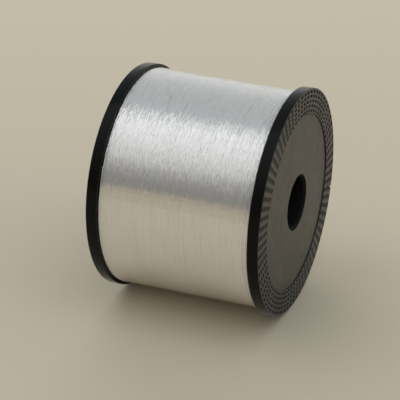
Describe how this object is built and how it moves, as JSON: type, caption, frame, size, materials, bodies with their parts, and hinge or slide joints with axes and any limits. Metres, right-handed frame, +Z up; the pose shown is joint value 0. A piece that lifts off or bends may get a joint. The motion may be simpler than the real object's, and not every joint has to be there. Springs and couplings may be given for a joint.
{
  "type": "fishing line spool",
  "caption": "Plastic spool with two thick flanges and a through bore, wound nearly full of clear nylon line, with blank end labels recessed inside pitted grip rings.",
  "frame": {"origin": "middle of the spool, on the axis of the bore, halfway between the outer faces of the two flanges", "axes": "+Y along the bore axis, towards the flange with the line slit; +Z up, with the spool lying on its side on the surface at Z = -40 mm; +X completes the right-handed frame"},
  "size_m": [0.08, 0.062, 0.08],
  "materials": {
    "black_plastic": "injection-moulded black plastic, half gloss, with a fine grain and rubbed edges",
    "label": "blank grey-brown film label, satin",
    "nylon_line": "clear nylon monofilament, glossy, silvery white where it lies many turns deep",
    "clear_tape": "clear adhesive tape, glossy, slightly yellow"
  },
  "bodies": {
    "root": {"right_flange": "black_plastic", "left_flange": "black_plastic", "barrel": "black_plastic", "right_label": "label", "left_label": "label", "start_tape": "clear_tape", "line_winding": "nylon_line", "line_tail": "nylon_line"}
  },
  "joints": []
}
